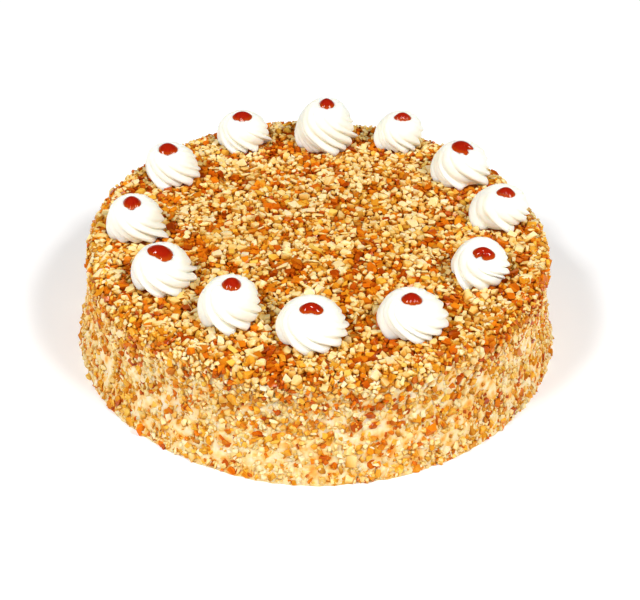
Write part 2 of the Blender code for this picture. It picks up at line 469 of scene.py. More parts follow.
def footprint(shape, spot, long, broad, bearing, wrap):
    """Cells of a field under a bit, and how far out in the bit each one is."""
    a, b = spot / CELL
    ra, rb = 0.5 * long / CELL, 0.5 * broad / CELL
    reach = int(math.ceil(ra))
    steps = np.arange(int(a) - reach, int(a) + reach + 1)
    cols = np.arange(max(int(b) - reach, 0), min(int(b) + reach + 1, shape[1]))
    if not wrap:
        steps = steps[(steps >= 0) & (steps < shape[0])]
    if len(cols) < 2 or len(steps) < 2:
        return None, None
    da, db = (steps - a)[:, None], (cols - b)[None]
    c, s = math.cos(bearing), math.sin(bearing)
    out = ((da * c + db * s) / ra) ** 2 + ((db * c - da * s) / rb) ** 2
    if not (out < 1).any():
        return None, None
    return np.ix_(steps % shape[0], cols), out


def settle(field, spots, long, broad, thick, bearing, limit, wrap, rank, sink):
    """Lays bits one after another on a field of heights, each on what already
    lies there, and leaves out those that would stand above their limit."""
    heights = np.full(len(spots), np.nan)
    for k in range(len(spots)):
        grid, out = footprint(field.shape, spots[k], long[k], broad[k], bearing[k], wrap)
        if grid is None:
            continue
        patch, inside = field[grid], out < 1
        under = np.sort(patch[inside])
        low = under[min(int(rank * len(under)), len(under) - 1)] - sink[k] * thick[k]
        if low + thick[k] > limit[k]:
            continue
        top = low + thick[k] * (0.55 + 0.45 * np.sqrt(np.maximum(1 - out, 0)))
        field[grid] = np.where(inside, np.maximum(patch, top), patch)
        heights[k] = low + 0.5 * thick[k]
    return heights


def in_sight(field, spots, long, broad, thick, bearing, heights, wrap):
    """Which of the laid bits show at the surface of the finished field."""
    seen = np.zeros(len(spots), bool)
    for k in range(len(spots)):
        grid, out = footprint(field.shape, spots[k], long[k], broad[k], bearing[k], wrap)
        if grid is not None:
            shows = (out < 1) & (field[grid] < heights[k] + 0.5 * thick[k] + 0.1 * MM)
            seen[k] = shows.sum() >= 0.1 * (out < 1).sum()
    return seen


# ------------------------------------------------------------- laying the coat
SWIRL_AT = np.array(
    [
        (out * MM * math.cos(math.radians(angle)), out * MM * math.sin(math.radians(angle)))
        for angle, out, *_ in SWIRLS
    ]
)
SWIRL_HALF = np.array([row[2] * MM / 2 for row in SWIRLS])

pale_top = Bits("nut_bits_top", NUTS_TOP)
pale_side = Bits("nut_bits_side", NUTS_SIDE)
toasted = Bits("toasted_nut_bits", NUTS_SIDE)
amber = Bits("amber_brittle_bits", BRITTLE)
red = Bits("red_brittle_bits", BRITTLE)
crumbs = Bits("nut_crumbs", CRUMBS)
sugar = Bits("brittle_crumbs", CRUMBS)
stain_and_shade_spots = []  # where bits sit in the cream, with their sizes and kinds


def sizes_of(kind, n, fine=1.0):
    """Length, breadth and thickness of n bits of a kind."""
    mid, spread, low, high = {
        "nut": (4.0, 0.27, 2.3, 7.4),
        "brittle": (3.8, 0.30, 1.9, 6.8),
        "crumb": (1.45, 0.22, 0.9, 2.3),
    }[kind]
    long = np.clip(mid * np.exp(spread * rng.normal(size=n)), low, high) * MM * fine
    if kind == "brittle":
        return long, long * rng.uniform(0.6, 0.92, n), long * rng.uniform(0.42, 0.76, n)
    broad, thick = long * rng.uniform(0.62, 0.95, n), long * rng.uniform(0.58, 0.88, n)
    if kind == "nut":
        sliver = rng.uniform(size=n) < 0.09
        long = np.where(sliver, long * rng.uniform(1.2, 1.5, n), long)
        broad = np.where(sliver, long * rng.uniform(0.3, 0.42, n), broad)
        thick = np.where(sliver, long * rng.uniform(0.25, 0.36, n), thick)
    return long, broad, thick


def kinds_at(points, seed, share_amber, share_red, share_toasted):
    """Which kind each bit is: 0 pale nut, 1 toasted nut, 2 amber, 3 red. Brittle
    lies in loose clusters, as it falls from a handful."""
    patch = value_noise(points / 0.011, seed) * 0.55 + value_noise(points / 0.0055, seed + 1) * 0.6
    warm = value_noise(points / 0.014, seed + 2)
    chance = rng.uniform(size=len(points))
    s_red = np.clip(share_red * (1 + 3.6 * patch), 0.10 * share_red, 0.88)
    s_amber = np.clip(share_amber * (1 + 0.9 * warm), 0.02, 0.6)
    s_toast = np.clip(share_toasted * (1 + 0.8 * value_noise(points / 0.02, seed + 3)), 0, 1)
    kind = np.zeros(len(points), int)
    kind[chance < s_red + s_amber + s_toast] = 1
    kind[chance < s_red + s_amber] = 2
    kind[chance < s_red] = 3
    return kind


def share_out(kind, place, turn, size, out, deep, side):
    """Hands each laid bit to the mesh of its kind, with its tone: the deeper it
    lies in the coat, the darker and more orange its tone, partly for syrup and
    partly as painted shade down among the other bits. Some on the side are creamed over."""
    n = len(kind)
    tone, mark = rng.uniform(size=n) ** 1.2, rng.uniform(size=n)
    ranges = (
        ((pale_side, 0.13, 0.60), (toasted, 0.0, 0.70), (amber, 0.05, 0.80), (red, 0.05, 0.70))
        if side
        else ((pale_top, 0.03, 0.50), (toasted, 0.0, 0.70), (amber, 0.20, 0.95), (red, 0.0, 0.80))
    )
    for k, (bits, low, high) in enumerate(ranges):
        m = kind == k
        # deep adds painted shade, with syrup, to bits low in the coat.
        at = low + (high - low) * tone[m] + (0.2 if side else 0.3) * deep[m]
        if side and k == 0:
            at = np.where(rng.uniform(size=m.sum()) < 0.18, 0.04, at)
        bits.add(place[m], turn[m], size[m], out[m], at, mark[m])


def lay_top():
    """Bits on the level top: large ones side by side in the glaze, smaller ones
    wherever they find room."""
    half = 0.128
    cells = int(2 * half / CELL)
    step = (np.arange(cells) + 0.5) * CELL - half
    field = glaze_relief(*np.meshgrid(step, step, indexing="ij"))
    reach = TOP_RADIUS - RIM_ROUNDING + 0.002
    laid = []
    for fine, count, rank, raised, shares in (
        (1.12, 7000, 0.50, 1.0, (0.12, 0.20, 0.05)),
        (0.92, 8000, 0.50, 0.6, (0.13, 0.25, 0.05)),
        (0.66, 10000, 0.50, 0.0, (0.30, 0.48, 0.04)),
        (0.46, 9000, 0.50, -0.5, (0.34, 0.58, 0.0)),
    ):
        radius = reach * np.sqrt(rng.uniform(size=count))
        angle = rng.uniform(0, 2 * math.pi, count)
        x, y = radius * np.cos(angle), radius * np.sin(angle)
        away = np.hypot(x[:, None] - SWIRL_AT[:, 0], y[:, None] - SWIRL_AT[:, 1])
        bare = (away < SWIRL_HALF - 2.6 * MM).any(1)
        x, y = x[~bare], y[~bare]
        near = (away[~bare] < SWIRL_HALF + 0.6 * MM).any(1)
        n = len(x)
        kind = kinds_at(np.stack([x, y, np.zeros(n)], 1), 11, *shares)
        long, broad, thick = sizes_of("nut", n, fine)
        b = sizes_of("brittle", n, fine)
        shard = kind >= 2
        long, broad, thick = (np.where(shard, s, t) for s, t in zip(b, (long, broad, thick)))
        bearing = rng.uniform(0, math.pi, n)
        limit = GLAZE_UNDER + rng.normal(size=n) * 0.45 * MM + raised * MM
        limit = np.where(near, np.minimum(limit, GLAZE_UNDER + 0.1 * MM), limit)
        limit -= np.where(shard, 0.5 * MM, 0)
        spots = np.stack([x, y], 1) + half
        high = settle(
            field, spots, long, broad, thick, bearing, limit, False, rank,
            rng.uniform(0.05, 0.3, n),
        )
        kept = ~np.isnan(high)
        laid.append(
            np.column_stack([spots, long, broad, thick, bearing, high, kind])[kept]
        )
    laid = np.concatenate(laid)
    spots, long, broad, thick, bearing, high, kind = (
        laid[:, :2], *(laid[:, k] for k in range(2, 8))
    )
    seen = in_sight(field, spots, long, broad, thick, bearing, high, False)
    print("top:", len(seen), "laid,", int(seen.sum()), "in sight")
    spots, long, broad, thick, bearing, high, kind = (
        v[seen] for v in (spots, long, broad, thick, bearing, high, kind)
    )
    n = len(long)
    x, y = (spots - half).T
    z = HEIGHT + top_offset(x, y) - GLAZE_UNDER + high
    one = np.ones((n, 1))
    turn = turns(
        bearing, rng.normal(size=n) * math.radians(30),
        one * (0, 0, 1.0), one * (1.0, 0, 0), one * (0, 1.0, 0),
    )
    size = np.stack([long, broad, thick], 1)
    # Deeper bits get darker tones: partly syrup, partly painted shade.
    deep = 1 - smooth(0.2, 0.75, high / GLAZE_UNDER)
    share_out(kind, np.stack([x, y, z], 1), turn, size, one * (0, 0, 1.0), deep, False)
    return field, half


def lay_side():
    """Bits pressed into the cream of the side and heaped over the rim."""
    rows, cols = int(ARC / CELL), int((SIDE_LENGTH + 0.002) / CELL)
    field = np.zeros((rows, cols))
    laid = []
    for fine, count, rank, most in (
        (1.00, 9500, 0.5, 0.95), (0.80, 9500, 0.5, 0.85), (0.60, 8000, 0.55, 0.75),
    ):
        along = rng.uniform(0.0, SIDE_LENGTH + 0.001, count)
        arc = rng.uniform(0, ARC, count)
        angle = arc / TOP_RADIUS
        _, height = (np.interp(along, ALONG, OUTLINE[:, k]) for k in range(2))
        points = np.stack(
            [np.cos(angle) * TOP_RADIUS, np.sin(angle) * TOP_RADIUS, height], 1
        )
        # Cream is left showing in patches, most of them low on the side.
        patch = value_noise(points / 0.012, 31) * 0.6 + value_noise(points / 0.005, 32) * 0.6
        dense = smooth(0.034, 0.054, height)
        foot = 1 - smooth(0.002, 0.008, height)
        keep = most - 0.78 * smooth(0.0, 0.7, patch)
        keep = np.clip(keep + dense * 0.7 + foot * 0.35, 0.05, 1)
        mine = rng.uniform(size=count) < keep
        along, arc, points, dense = (v[mine] for v in (along, arc, points, dense))
        n = len(along)
        kind = kinds_at(points, 21, 0.24, 0.115 + 0.06 * dense, 0.05)
        long, broad, thick = sizes_of("nut", n, fine)
        b = sizes_of("brittle", n, fine)
        shard = kind >= 2
        long, broad, thick = (np.where(shard, s, t) for s, t in zip(b, (long, broad, thick)))
        bearing = rng.uniform(0, math.pi, n)
        rim = smooth(0.070, 0.080, height[mine]) * (1 - smooth(0.105, 0.110, along))
        limit = under_coat(along) + (0.2 + 0.5 * dense) * MM
        limit += rng.normal(size=n) * (0.45 + 0.8 * rim) * MM
        sink = rng.uniform(0.4, 0.8, n) * (1 - 0.65 * dense)
        spots = np.stack([arc, along], 1)
        high = settle(
            field, spots, long, broad, thick, bearing, limit, True, rank, sink,
        )
        kept = ~np.isnan(high)
        laid.append(
            np.column_stack([spots, long, broad, thick, bearing, high, kind])[kept]
        )
    laid = np.concatenate(laid)
    spots, long, broad, thick, bearing, high, kind = (
        laid[:, :2], *(laid[:, k] for k in range(2, 8))
    )
    seen = in_sight(field, spots, long, broad, thick, bearing, high, True)
    print("side:", len(seen), "laid,", int(seen.sum()), "in sight")
    spots, long, broad, thick, bearing, high, kind = (
        v[seen] for v in (spots, long, broad, thick, bearing, high, kind)
    )
    n = len(long)
    angle, along = spots[:, 0] / TOP_RADIUS, spots[:, 1]
    place, out, up, around = side_frame(along, angle)
    place = place + out * (high - under_coat(along))[:, None]
    turn = turns(bearing, rng.normal(size=n) * np.radians(38), out, around, up)
    size = np.stack([long, broad, thick], 1)
    # Deeper bits get darker tones: partly syrup, partly painted shade.
    deep = 1 - smooth(0.1, 0.7, high / under_coat(along))
    # This direction leans upward, toward the lamps, so faces turned down get painted shade.
    share_out(kind, place, turn, size, 0.8 * out + 0.45 * up, deep, True)
    for m in range(n):
        stain_and_shade_spots.append((angle[m], along[m], size[m, 0], kind[m]))
    return field


def lay_crumbs(top_field, half, side_field):
    """Fine crumbs in the hollows between the bits, and strewn along the foot."""
    count = 5200
    radius = (TOP_RADIUS - 0.004) * np.sqrt(rng.uniform(size=count))
    angle = rng.uniform(0, 2 * math.pi, count)
    x, y = radius * np.cos(angle), radius * np.sin(angle)
    away = np.hypot(x[:, None] - SWIRL_AT[:, 0], y[:, None] - SWIRL_AT[:, 1])
    ok = (away > SWIRL_HALF - 1.5 * MM).all(1) & (radius < TOP_RADIUS - RIM_ROUNDING + 0.002)
    x, y = x[ok], y[ok]
    n = len(x)
    long, broad, thick = sizes_of("crumb", n)
    bearing = rng.uniform(0, math.pi, n)
    limit = np.full(n, GLAZE_UNDER - 0.6 * MM)
    high = settle(
        top_field, np.stack([x, y], 1) + half, long, broad, thick, bearing, limit,
        False, 0.5, np.full(n, 0.1),
    )
    kept = ~np.isnan(high)
    x, y, high, bearing = x[kept], y[kept], high[kept], bearing[kept]
    n = len(x)
    one = np.ones((n, 1))
    z = HEIGHT + top_offset(x, y) - GLAZE_UNDER + high
    turn = turns(
        bearing, rng.normal(size=n) * 0.5, one * (0, 0, 1.0), one * (1.0, 0, 0), one * (0, 1.0, 0)
    )
    size = np.stack([long[kept], broad[kept], thick[kept]], 1)
    place = np.stack([x, y, z], 1)
    fine = rng.uniform(size=n) < 0.7
    # Crumbs in the top's hollows keep to darker tones: partly syrup, partly painted shade.
    for bits, m in ((sugar, fine), (crumbs, ~fine)):
        bits.add(
            place[m], turn[m], size[m], np.tile((0, 0, 1.0), (m.sum(), 1)),
            0.25 + 0.6 * rng.uniform(size=m.sum()), rng.uniform(size=m.sum()),
        )

    count = 6500
    along = rng.uniform(0, SIDE_LENGTH, count)
    along[: count // 5] = rng.uniform(0, 0.006, count // 5)
    arc = rng.uniform(0, ARC, count)
    long, broad, thick = sizes_of("crumb", count)
    bearing = rng.uniform(0, math.pi, count)
    limit = under_coat(along) - 0.3 * MM
    high = settle(
        side_field, np.stack([arc, along], 1), long, broad, thick, bearing, limit,
        True, 0.5, np.full(count, 0.3),
    )
    kept = ~np.isnan(high)
    along, angle, high, bearing = along[kept], arc[kept] / TOP_RADIUS, high[kept], bearing[kept]
    n = len(along)
    place, out, up, around = side_frame(along, angle)
    place = place + out * (high - under_coat(along))[:, None]
    turn = turns(bearing, rng.normal(size=n) * 0.5, out, around, up)
    size = np.stack([long[kept], broad[kept], thick[kept]], 1)
    fine = rng.uniform(size=n) < 0.25
    for bits, m in ((sugar, fine), (crumbs, ~fine)):
        bits.add(
            place[m], turn[m], size[m], out[m], 0.7 * rng.uniform(size=m.sum()),
            rng.uniform(size=m.sum()),
        )


# ------------------------------------------------------------ the cream under it
def make_core():
    """Cream spread on the side and glaze on the top, under the bits. Two point
    attributes go with it: how far the bits have stained the cream, the brittle
    most, which also paints warm shade into the cracks round each bit, and where
    the glaze is."""
    round_steps, side_steps = 720, 78
    angle = np.arange(round_steps) * 2 * math.pi / round_steps
    along = np.linspace(0, SIDE_LENGTH, side_steps)
    A, S = np.meshgrid(angle, along)
    place, out, up, around = side_frame(S.ravel(), A.ravel())
    deep = under_coat(S.ravel())
    soft = (GLAZE_UNDER - deep) / (GLAZE_UNDER - CREAM_UNDER)
    spread = value_noise(place / (0.011, 0.011, 0.007), 41) * 0.6 * MM
    spread = (spread + value_noise(place / 0.0038, 42) * 0.5 * MM + 0.62 * MM) * soft
    place = place - out * (deep - spread)[:, None]
    place[:round_steps, 2] = 0.0
    rings = [place.reshape(side_steps, round_steps, 3)]
    inner = place.reshape(side_steps, round_steps, 3)[-1]
    reach = np.hypot(inner[:, 0], inner[:, 1])
    for share in np.linspace(1, 0, 44)[1:-1]:
        x, y = share * reach * np.cos(angle), share * reach * np.sin(angle)
        fade = smooth(1.0, 0.97, share)
        z = HEIGHT - GLAZE_UNDER + top_offset(x, y) + glaze_relief(x, y) * fade
        rings.append(np.stack([x, y, z], 1)[None])
    grid = np.concatenate(rings)
    n_rings = len(grid)
    verts = np.vstack([grid.reshape(-1, 3), [[0, 0, HEIGHT - GLAZE_UNDER]], [[0, 0, 0]]])
    i = np.arange(round_steps)
    j = (i + 1) % round_steps
    faces = []
    for k in range(n_rings - 1):
        low, high = k * round_steps, (k + 1) * round_steps
        faces.append(np.stack([low + i, low + j, high + j], 1))
        faces.append(np.stack([low + i, high + j, high + i], 1))
    last, centre, under = (n_rings - 1) * round_steps, len(verts) - 2, len(verts) - 1
    faces.append(np.stack([last + i, last + j, np.full_like(i, centre)], 1))
    faces.append(np.stack([j, i, np.full_like(i, under)], 1))
    made = mesh_object("cream_coat", verts, np.concatenate(faces))
    # Stains and painted crack shade, on the side's part of the grid only.
    stain_and_crack_shade = np.zeros((side_steps, round_steps))
    step_s, step_a = along[1], angle[1] * TOP_RADIUS
    for a, s, size, kind in stain_and_shade_spots:
        reach_s = int(3.2 * MM / step_s) + 1
        reach_a = int(3.2 * MM / step_a) + 1
        cs, ca = int(s / step_s), int(a * TOP_RADIUS / step_a)
        rows = np.arange(max(cs - reach_s, 0), min(cs + reach_s + 2, side_steps))
        cols = np.arange(ca - reach_a, ca + reach_a + 2)
        if not len(rows):
            continue
        ds = along[rows][:, None] - s
        dc = (cols * step_a)[None] - a * TOP_RADIUS
        gap = np.sqrt(ds * ds + dc * dc)
        # Round nuts this tint is painted shade in the cracks at their feet; round brittle it is mostly a syrup stain.
        strong, wide = ((0.5, 0.4), (0.6, 0.4), (0.8, 0.7), (1.0, 0.7))[int(kind)]
        amount = strong * np.exp(-((gap / (0.5 * size + wide * MM)) ** 2))
        grid_at = np.ix_(rows, cols % round_steps)
        stain_and_crack_shade[grid_at] = np.maximum(stain_and_crack_shade[grid_at], amount)
    values = np.zeros(len(verts), np.float32)
    plain = 1 - 0.6 * smeared(verts[: side_steps * round_steps])
    values[: side_steps * round_steps] = stain_and_crack_shade.ravel() * plain
    glaze = np.ones(len(verts), np.float32)
    glaze[: side_steps * round_steps] = smooth(
        SIDE_LENGTH - 0.017, SIDE_LENGTH - 0.009, S.ravel()
    )
    glaze[-1] = 0
    for name, data in (("stain_and_crack_shade", values), ("glaze", glaze)):
        made.data.attributes.new(name, "FLOAT", "POINT").data.foreach_set("value", data)
    return made


# ------------------------------------------------------------------- the swirls
SWIRL_OUTLINE = (
    # share of the half width, share of the height
    (0.84, -0.095), (0.935, -0.03), (0.99, 0.08), (1.005, 0.22), (0.985, 0.38),
    (0.935, 0.54), (0.855, 0.69), (0.75, 0.82), (0.64, 0.915), (0.55, 0.97),
    (0.48, 0.99),
)


def blob_outline(row, theta):
    """Edge of a blob about its swirl's tip, towards each of these directions."""
    (long, broad, bearing), notches = row[7], row[8]
    a, b = long * MM / 2, broad * MM / 2
    phi = theta - math.radians(bearing)
    reach = a * b / np.sqrt((b * np.cos(phi)) ** 2 + (a * np.sin(phi)) ** 2)
    reach *= 1 + 0.02 * np.sin(2 * theta + long) + 0.02 * np.sin(3 * theta + broad)
    for at, depth, width in notches:
        gap = (np.degrees(theta) - at + 180) % 360 - 180
        reach *= 1 - depth * np.exp(-((gap / width) ** 2))
    return np.stack([reach * np.cos(theta), reach * np.sin(theta)], -1)


def make_swirl(number, row):
    """Cream from a star nozzle, turned as it was piped: ridges that climb
    clockwise, each lapping a little over the one below it, deepest at the foot."""
    angle, out, width, high, ridges, start, lean = row[:7]
    half, high = width * MM / 2, high * MM
    per_ridge, up_steps = 12, 40
    count = ridges * per_ridge
    outline = through(SWIRL_OUTLINE, up_steps)
    run = np.gradient(outline * (half, high), axis=0)
    run /= np.linalg.norm(run, axis=1)[:, None]
    normal = np.stack([run[:, 1], -run[:, 0]], 1)
    share_up = np.clip(outline[:, 1], 0, 1)
    depth = MM * (0.32 + 2.9 * (1 - smooth(0.0, 0.8, share_up)) ** 1.2)
    turned = np.radians(start) - np.radians(96 * (high / (17.5 * MM)) ** 0.8) * share_up
    own = np.random.default_rng(900 + number)
    edges = np.cumsum(np.clip(1 + 0.18 * own.normal(size=ridges), 0.6, 1.5))
    edges = np.concatenate([[0], edges / edges[-1]])
    strong = np.clip(1 + 0.30 * own.normal(size=ridges), 0.45, 1.5)
    push = 0.26 * own.normal(size=ridges)
    wave = own.uniform(0, 2 * math.pi, ridges)
    share = np.linspace(0, 1, per_ridge, endpoint=False)
    at = np.concatenate([edges[k] + (edges[k + 1] - edges[k]) * share for k in range(ridges)])
    # A ridge falls off gently to the one above it and steeply to the one below.
    crest_at = 0.36
    below, above = share / crest_at, (share - crest_at) / (1 - crest_at)
    crest = np.where(
        share < crest_at, np.sin(np.pi / 2 * np.minimum(below, 1)), 1 - 0.18 * above - 0.82 * above ** 2
    )
    rings = []
    for k in range(up_steps):
        theta = 2 * math.pi * at + turned[k]
        now = np.clip(strong + 0.35 * np.sin(4.0 * share_up[k] + wave), 0.3, 1.6)
        off = 0.25 - np.repeat(now, per_ridge) * np.tile(1 - crest, ridges)
        stray = push * (1 + 0.7 * (1 - smooth(0.0, 0.4, share_up[k])))
        off = depth[k] * (off + np.repeat(stray, per_ridge) * np.tile(crest, ridges))
        radius = outline[k, 0] * half + off * normal[k, 0]
        z = outline[k, 1] * high + off * normal[k, 1]
        x, y = radius * np.cos(theta), radius * np.sin(theta)
        rings.append(np.stack([x, y, z], 1))
    # The tip closes in on the blob and laps a little over its edge.
    theta = 2 * math.pi * at + turned[-1]
    lip = rings[-1].copy()
    edge = blob_outline(row, theta) + (0, (1 - LEAN_OF_CREAM) * lean[1] * MM)
    for share_in, rise in ((0.2, 0.06), (0.42, 0.09), (0.64, 0.07), (0.85, 0.03), (1.0, -0.01)):
        xy = lip[:, :2] * (1 - share_in) + edge * 0.985 * share_in
        z = lip[:, 2] * (1 - share_in) + 0.985 * high * share_in + rise * MM * 3
        rings.append(np.column_stack([xy, z]))
    middle = edge.mean(0)
    for share_in, drop in ((0.9, 0.6), (0.6, 0.9), (0.3, 1.0)):
        xy = middle + (edge - middle) * share_in
        rings.append(np.column_stack([xy, np.full(count, high * 0.985 - CRATER_DEPTH * drop)]))
    grid = np.concatenate([r[None] for r in rings])
    verts = np.vstack(
        [
            grid.reshape(-1, 3),
            [[middle[0], middle[1], high * 0.985 - CRATER_DEPTH]],
            [[0, 0, -0.095 * high]],
        ]
    )
    # A soft hand: the whole swirl sags a little, and its tip leans.
    place = verts / (0.011, 0.011, 0.009) + (number * 7.1, 0, 0)
    sway = np.stack([value_noise(place, 51), value_noise(place, 52), value_noise(place, 53)], 1)
    up_share = np.clip(verts[:, 2] / high, 0, 1)
    swing = np.clip(up_share * 3, 0.2, 1) * (1 - smooth(0.75, 0.97, up_share))
    verts = verts + sway * (0.55 * MM, 0.55 * MM, 0.35 * MM) * swing[:, None]
    verts[:, 0] += lean[0] * MM * up_share ** LEAN_POWER
    verts[:, 1] += LEAN_OF_CREAM * lean[1] * MM * up_share ** LEAN_POWER
    verts[:, 2] += TILTS.get(number, 0) * verts[:, 1] * smooth(0.2, 1.0, up_share)
    i = np.arange(count)
    j = (i + 1) % count
    faces = []
    for k in range(len(rings) - 1):
        low, top = k * count, (k + 1) * count
        faces.append(np.stack([low + i, low + j, top + j], 1))
        faces.append(np.stack([low + i, top + j, top + i], 1))
    last, centre, under = (len(rings) - 1) * count, len(verts) - 2, len(verts) - 1
    faces.append(np.stack([last + i, last + j, np.full_like(i, centre)], 1))
    faces.append(np.stack([j, i, np.full_like(i, under)], 1))
    x0, y0 = SWIRL_AT[number - 1]
    verts += (x0, y0, HEIGHT + SEAT_GAP)
    # Over the rim the foot of a swirl hangs down onto the bits.
    far = np.hypot(verts[:, 0], verts[:, 1])
    over = np.clip(far - (TOP_RADIUS - RIM_ROUNDING), 0, RIM_ROUNDING * 0.98)
    drop = RIM_ROUNDING - np.sqrt(RIM_ROUNDING ** 2 - over ** 2)
    low_share = 1 - smooth(0.0, 0.5, (verts[:, 2] - HEIGHT) / high)
    verts[:, 2] -= drop * low_share
    return mesh_object(f"whipped_cream_{number:02d}", verts, np.concatenate(faces))


def make_blob(number, row):
    """Jelly set in the tip: a wet, low dome. The attribute rim is 1 at its edge,
    where it is thin, and most of all on its front side: a painted glow of light
    shining through the thin front edge."""
    high, lean = row[3] * MM, row[6]
    count, steps = 72, 15
    theta = np.arange(count) * 2 * math.pi / count
    edge = blob_outline(row, theta)
    # Painted light: the edge is lighter most of all on the front side, toward -Y.
    front_glow = 0.5 - 0.5 * np.sin(theta)
    base = high * 0.985
    rings, rim_and_front_glow = [], []
    for share, z in ((0.35, -0.9), (0.7, -0.75), (0.93, -0.4), (1.0, -0.12)):
        rings.append(np.column_stack([edge * share, np.full(count, base + z * CRATER_DEPTH)]))
        rim_and_front_glow.append(np.full(count, 1.0))
    for k in range(steps):
        up = (k + 1) / steps * math.pi / 2
        share = math.cos(up) ** 0.8
        z = base + BLOB_CROWN * (1 - share ** 2.2)
        if share < 0.05:
            break
        rings.append(np.column_stack([edge * share, np.full(count, z)]))
        rim_and_front_glow.append(np.maximum(0.0, (share - 0.70) / 0.30) * (0.15 + 0.85 * front_glow))
    verts = np.vstack([np.concatenate(rings), [[0, 0, base + BLOB_CROWN]], [[0, 0, base - CRATER_DEPTH * 0.93]]])
    verts[:, 0] += lean[0] * MM
    verts[:, 1] += lean[1] * MM
    verts[:, 2] += TILTS.get(number, 0) * verts[:, 1]
    i = np.arange(count)
    j = (i + 1) % count
    faces = []
    for k in range(len(rings) - 1):
        low, top = k * count, (k + 1) * count
        faces.append(np.stack([low + i, low + j, top + j], 1))
        faces.append(np.stack([low + i, top + j, top + i], 1))
    last, centre, under = (len(rings) - 1) * count, len(verts) - 2, len(verts) - 1
    faces.append(np.stack([last + i, last + j, np.full_like(i, centre)], 1))
    faces.append(np.stack([j, i, np.full_like(i, under)], 1))
    x0, y0 = SWIRL_AT[number - 1]
    verts += (x0, y0, HEIGHT + SEAT_GAP)
    made = mesh_object(f"red_jelly_{number:02d}", verts, np.concatenate(faces))
    rim = np.concatenate(rim_and_front_glow + [[0.0], [1.0]]).astype(np.float32)
    made.data.attributes.new("rim", "FLOAT", "POINT").data.foreach_set("value", rim)
    return made


# -------------------------------------------------------------------- materials
def new_material(name):
    made = bpy.data.materials.new(name)
    made.use_nodes = True
    tree = made.node_tree
    shader = tree.nodes["Principled BSDF"]
    return made, tree, shader


def node(tree, kind, **values):
    made = tree.nodes.new(kind)
    for key, value in values.items():
        setattr(made, key, value)
    return made


def ramp(tree, fac, stops):
    made = node(tree, "ShaderNodeValToRGB")
    band = made.color_ramp
    while len(band.elements) < len(stops):
        band.elements.new(0.5)
    for element, (at, colour) in zip(band.elements, stops):
        element.position = at
        element.color = (*colour, 1)
    tree.links.new(fac, made.inputs[0])
    return made.outputs[0]


def maths(tree, operation, a, b=None, clamp=False):
    made = node(tree, "ShaderNodeMath", operation=operation, use_clamp=clamp)
    for socket, value in zip(made.inputs, (a, b)):
        if value is None:
            continue
        if isinstance(value, (int, float)):
            socket.default_value = value
        else:
            tree.links.new(value, socket)
    return made.outputs[0]


def mix(tree, fac, a, b, blend="MIX"):
    made = node(tree, "ShaderNodeMix", data_type="RGBA", blend_type=blend)
    for socket, value in ((made.inputs[0], fac), (made.inputs[6], a), (made.inputs[7], b)):
        if isinstance(value, (int, float)):
            socket.default_value = value
        elif isinstance(value, tuple):
            socket.default_value = (*value, 1)
        else:
            tree.links.new(value, socket)
    return made.outputs[2]


def noise_at(tree, scale, detail=2.0, rough=0.5):
    where = node(tree, "ShaderNodeTexCoord")
    made = node(tree, "ShaderNodeTexNoise")
    made.inputs["Scale"].default_value = scale
    made.inputs["Detail"].default_value = detail
    made.inputs["Roughness"].default_value = rough
    tree.links.new(where.outputs["Object"], made.inputs["Vector"])
    return made.outputs[0]


def bump(tree, shader, height, strength, distance):
    made = node(tree, "ShaderNodeBump")
    made.inputs["Strength"].default_value = strength
    made.inputs["Distance"].default_value = distance
    tree.links.new(height, made.inputs["Height"])
    tree.links.new(made.outputs[0], shader.inputs["Normal"])


def bit_material(name, stops, shade, rough, grain, **constant):
    """Colour from a bit's place on the chart: along it the tone, across it how
    light or dark the bit is. Grain is bump and roughness in the bit itself."""
    made, tree, shader = new_material(name)
    chart = node(tree, "ShaderNodeUVMap", uv_map="tone")
    parts = node(tree, "ShaderNodeSeparateXYZ")
    tree.links.new(chart.outputs[0], parts.inputs[0])
    colour = ramp(tree, parts.outputs[0], stops)
    light = maths(tree, "MULTIPLY_ADD", parts.outputs[1], shade[1] - shade[0])
    light.node.inputs[2].default_value = shade[0]
    grey = node(tree, "ShaderNodeCombineXYZ")
    for k in range(3):
        tree.links.new(light, grey.inputs[k])
    colour = mix(tree, 1.0, colour, grey.outputs[0], "MULTIPLY")
    tree.links.new(colour, shader.inputs["Base Color"])
    fine = noise_at(tree, grain[0], 3.0, 0.6)
    spread = maths(tree, "MULTIPLY_ADD", fine, rough[1] - rough[0])
    spread.node.inputs[2].default_value = rough[0]
    tree.links.new(spread, shader.inputs["Roughness"])
    bump(tree, shader, fine, grain[1], grain[2])
    for key, value in constant.items():
        shader.inputs[key.replace("_", " ")].default_value = value
    return made


